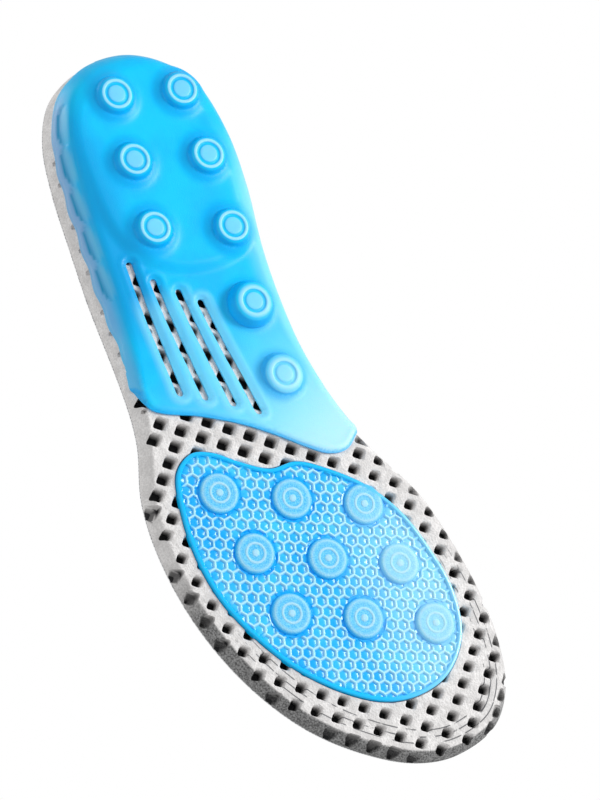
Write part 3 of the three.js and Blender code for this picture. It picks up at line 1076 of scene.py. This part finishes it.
# %% Gel material
def gel_masks(points):
    """Pale where the gel is thin or a foot's face is frosted, with a painted highlight along the arch
    edge. Painted shade on the outer side, in the leaf hollows and round the feet.
    """
    xy, z = points[:, :2], points[:, 2]
    x, y = xy[:, 0], xy[:, 1]
    away = np.min([np.linalg.norm(xy - n, axis=1) for n in HEEL_NUBS], axis=0)
    band = smooth(away, 4.4, 4.65) * (1 - smooth(away, 5.45, 5.7))
    face = np.where((z < 0.6) & (away < 6), np.maximum(band, 0.55 - 0.55 * smooth(away, 3.1, 3.4)), 0)
    # painted highlight: paler along the arch-side edge, where the light falls
    arch_edge_highlight = 1 - smooth(distance_to(rim, xy), 1, 13)
    arch_edge_highlight *= medial(xy) * smooth(x, 25, 60)
    front = smooth(x - 0.45 * y, 92, 158)
    tip = smooth(x - 0.5 * y, 130, 172)
    u, v, inside = leaf(xy)
    fade = np.where(inside, 1 - u ** 4, 0)
    groove = np.min([to_segment(a, b, xy) for a, b in SLOTS], axis=0)
    wall = (y > 5) * smooth(x, -4, 8) * (1 - smooth(within(rim, xy), 1.0, 4.2))
    wall *= 1 - 0.5 * smooth(x, 50, 110)
    # painted shade on the outer side of the cup, away from the light
    outer_side_shade = smooth(y, 8, 20) * smooth(distance_to(rim, xy), 2.5, 6) * (1 - smooth(x, 80, 112))
    return {"face": face, "pale": np.maximum(0.75 * front, arch_edge_highlight), "tip": tip,
            "rib": (1 - smooth(groove, 3.2, 6.0)) * smooth(x, 78, 90),
            # painted shade in the deepest part of each leaf hollow
            "leaf_hollow_shade": fade * bell(v, -0.66, 0.42),
            "facet": fade * smooth(v, -0.4, 0.2) * (1 - smooth(v, 0.5, 1.0)),
            "wall": wall, "shaded": outer_side_shade,
            # painted shade round the feet, and a deeper blue strip along the front edge
            "feet_shade_and_front_edge": np.maximum((1 - smooth(away, 6.5, 12.5)) * (z > 0.7),
                               (1 - smooth(within(gel_outline, xy), 0.4, 1.2)) * (x > 108))}


def make_gel_material():
    material, tree, shader = new_material("blue_gel")
    speckle, cloud = grain(tree, 2.6, 0.06)

    def tinted(body, name, share, shade):
        return mix(tree, calc(tree, "MULTIPLY", mask(tree, name), share), body, shade)

    body = mix(tree, cloud, colour(0, 186, 250), colour(0, 200, 255))
    # painted shade on the outer side of the cup
    body = tinted(body, "shaded", 0.85, colour(0, 158, 222))
    # paler where the front of the sheet is thin, plus a painted highlight along the arch edge
    body = tinted(body, "pale", 1.0, colour(146, 226, 255))
    body = tinted(body, "tip", 0.6, colour(200, 238, 255))
    body = tinted(body, "rib", 0.6, colour(130, 216, 250))
    body = tinted(body, "wall", 0.9, colour(136, 176, 218))
    # painted shade round the feet, and a deeper blue along the front edge
    body = tinted(body, "feet_shade_and_front_edge", 0.75, colour(0, 170, 246))
    body = tinted(body, "facet", 0.55, colour(120, 196, 230))
    # painted shade in the leaf hollows
    body = tinted(body, "leaf_hollow_shade", 1.0, colour(0, 146, 196))
    body = tinted(body, "face", 0.75, colour(170, 230, 255))
    tree.links.new(body, shader.inputs["Base Color"])
    shader.inputs["Roughness"].default_value = 0.34
    shader.inputs["Specular IOR Level"].default_value = 0.22
    shader.inputs["Subsurface Weight"].default_value = 0.2
    shader.inputs["Subsurface Radius"].default_value = (0.3, 1.0, 1.3)
    shader.inputs["Subsurface Scale"].default_value = 0.0015
    bump(tree, shader, speckle, 0.02)
    return material


gel_material = make_gel_material()
score(gel, *BENDS[0])
finish_piece(gel, [gel_material], 60, gel_masks)
bend_at(gel, *BENDS[0])
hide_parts("heel_gel_cup")

# %% [markdown]
# ## Forefoot pad
# The pad is a flat piece of gel with a smooth raised border, a field of small hexagonal cups
# divided by thin ridges, and nine round discs, each in a smooth groove. The field is built cell
# by cell, so that every ridge is a real edge, and then trimmed to the outline.

# %% Hexagon field
CELL = 4.37
CELL_TURN = math.radians(-7.7)
RIDGE = 0.2
FIELD_LOW, CUP_DEPTH, PAD_TOP = 1.0, 0.75, 3.3
DISC_START, DISC_ACROSS, DISC_AHEAD = (157, 26.3), (11, -25.2), (24.3, -3.2)
DISCS = [tuple(np.array(DISC_START) + r * np.array(DISC_AHEAD) + s * np.array(DISC_ACROSS))
         for r in range(3) for s in range(3)]


def make_field():
    """A slab of hexagonal cups, larger than the pad."""
    step = [CELL * np.array([math.cos(CELL_TURN + a), math.sin(CELL_TURN + a)])
            for a in (0, math.pi / 3)]
    corner_angle = CELL_TURN + math.pi / 6 + np.arange(6) * math.pi / 3
    out = np.stack([np.cos(corner_angle), np.sin(corner_angle)], 1)
    reach = CELL / math.sqrt(3)
    i, j = np.meshgrid(np.arange(-40, 41), np.arange(-40, 41))
    centres = np.array([200.0, 0.0]) + i.reshape(-1, 1) * step[0] + j.reshape(-1, 1) * step[1]
    centres = centres[within(pad, centres) > -6]
    index, points, faces, edges = {}, [], [], {}

    def point(xy, z):
        key = (round(xy[0], 2), round(xy[1], 2), z)
        if key not in index:
            index[key] = len(points)
            points.append((xy[0], xy[1], z))
        return index[key]

    for c in centres:
        corner = [point(c + reach * o, FIELD_LOW) for o in out]
        lip = [point(c + (reach - RIDGE) * o, FIELD_LOW) for o in out]
        low = [point(c + 0.62 * reach * o, FIELD_LOW + CUP_DEPTH) for o in out]
        heart = point(c, FIELD_LOW + CUP_DEPTH - 0.3)
        above = [point(c + reach * o, PAD_TOP) for o in out]
        top = point(c, PAD_TOP)
        for k in range(6):
            n = (k + 1) % 6
            faces += [(corner[k], lip[k], lip[n], corner[n]), (lip[k], low[k], low[n], lip[n]),
                      (low[k], heart, low[n]), (above[k], above[n], top)]
            edges[(corner[k], corner[n])] = (above[k], above[n])
    for (a, b), (c, d) in edges.items():
        if (b, a) not in edges:
            faces.append((a, b, d, c))
    print("hexagonal cups:", len(centres))
    return new_piece("gel_forefoot_pad", points, faces)


# %% Trim, discs and border
DISC_PROFILE = [
    (0, 0.0), (0.7, 0.02), (1.15, 0.1), (1.5, 0.3), (2.2, 0.32), (2.9, 0.26), (3.2, 0.06),
    (3.5, 0), (3.8, 0.06), (4.05, 0.22), (5.0, 0.2), (5.8, 0.16), (6.4, 0.24), (6.9, 0.45),
    (7.3, 0.75), (7.6, 1.15), (7.7, 2.2), (0, 2.2),
]
BORDER = [(0.0, 3.24), (0.0, 1.5), (0.08, 1.1), (0.3, 0.84), (0.7, 0.7), (1.15, 0.72),
          (1.4, 0.9), (1.6, 1.15), (1.7, 1.6), (1.7, 3.24)]


def make_border():
    """The raised border: a closed bar swept round the outline."""
    normal = normals_of(pad)
    count, bars = len(pad), len(BORDER)
    points = np.concatenate([np.c_[pad - o * normal, np.full(count, z)] for o, z in BORDER])
    faces = []
    for b in range(bars):
        c = (b + 1) % bars
        for i in range(count):
            j = (i + 1) % count
            faces.append((b * count + i, c * count + i, c * count + j, b * count + j))
    return new_piece("border", points, faces)


def make_pad():
    field = make_field()
    tools = Tools()
    tools.prism(pad - 1.2 * normals_of(pad), -5, 8)
    boolean(field, "INTERSECT", tools.piece())
    tools = Tools()
    for disc in DISCS:
        tools.turned(disc, [(0, -2), (8.5, -2), (8.75, 1.0), (8.55, 1.35), (8.2, 1.45), (0, 1.45)])
    boolean(field, "DIFFERENCE", tools.piece())
    tools = Tools()
    for disc in DISCS:
        tools.turned(disc, DISC_PROFILE)
    boolean(field, "UNION", tools.piece())
    boolean(field, "UNION", make_border())
    return field


forefoot = make_pad()


# %% Pad material
def pad_masks(points):
    xy, z = points[:, :2], points[:, 2]
    away = np.min([np.linalg.norm(xy - np.array(d), axis=1) for d in DISCS], axis=0)
    inside = within(pad, xy)
    field = (away > 8.6) & (inside > 1.9)
    relief = np.where(away < 4.1, 1 - smooth(z, 0.05, 0.28), 0)
    return {"disc": 1 - smooth(away, 6.9, 7.5),
            "ridge": np.where(field, 1 - smooth(z, FIELD_LOW, FIELD_LOW + 0.3), 0),
            "cup": np.where(field, smooth(z, FIELD_LOW + 0.3, FIELD_LOW + CUP_DEPTH - 0.2), 0),
            "moat": smooth(away, 7.2, 7.7) * (1 - smooth(away, 8.5, 8.9)),
            "rings": np.maximum(relief, 0.8 * bell(away, 6.3, 0.5)),
            "border": 1 - smooth(inside, 1.5, 1.9),
            # painted light: paler towards the arch side, where the light falls
            "arch_side_painted_light": 0.5 * smooth(-xy[:, 1], -4, 36) * smooth(xy[:, 0], 160, 200)}


def make_pad_material():
    material, tree, shader = new_material("blue_gel_pad")
    speckle, cloud = grain(tree, 2.4, 0.07)
    body = mix(tree, cloud, colour(0, 168, 244), colour(20, 186, 255))
    cup = mix(tree, cloud, colour(0, 172, 248), colour(70, 205, 255))
    body = mix(tree, mask(tree, "cup"), body, cup)
    body = mix(tree, mask(tree, "ridge"), body, colour(180, 236, 255))
    frosted = mix(tree, speckle, colour(30, 182, 250), colour(122, 218, 255))
    body = mix(tree, mask(tree, "disc"), body, frosted)
    body = mix(tree, mask(tree, "moat"), body, colour(0, 172, 250))
    body = mix(tree, calc(tree, "MULTIPLY", mask(tree, "rings"), 0.6), body,
               colour(205, 242, 255))
    body = mix(tree, mask(tree, "border"), body, colour(10, 190, 255))
    # painted light: the pad is paler towards the arch side
    body = mix(tree, mask(tree, "arch_side_painted_light"), body, colour(190, 240, 255))
    tree.links.new(body, shader.inputs["Base Color"])
    rough = between(tree, mask(tree, "disc"), 0, 1, 0.16, 0.45)
    tree.links.new(rough, shader.inputs["Roughness"])
    shader.inputs["Specular IOR Level"].default_value = 0.45
    shader.inputs["Subsurface Weight"].default_value = 0.15
    shader.inputs["Subsurface Radius"].default_value = (0.3, 1.0, 1.3)
    shader.inputs["Subsurface Scale"].default_value = 0.001
    bump(tree, shader, calc(tree, "MULTIPLY", speckle, mask(tree, "disc")), 0.12)
    return material


score(forefoot, *BENDS[1])
finish_piece(forefoot, [make_pad_material()], 24, pad_masks)
bend_at(forefoot, *BENDS[1])
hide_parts("forefoot_pad_rear", "forefoot_pad_front")
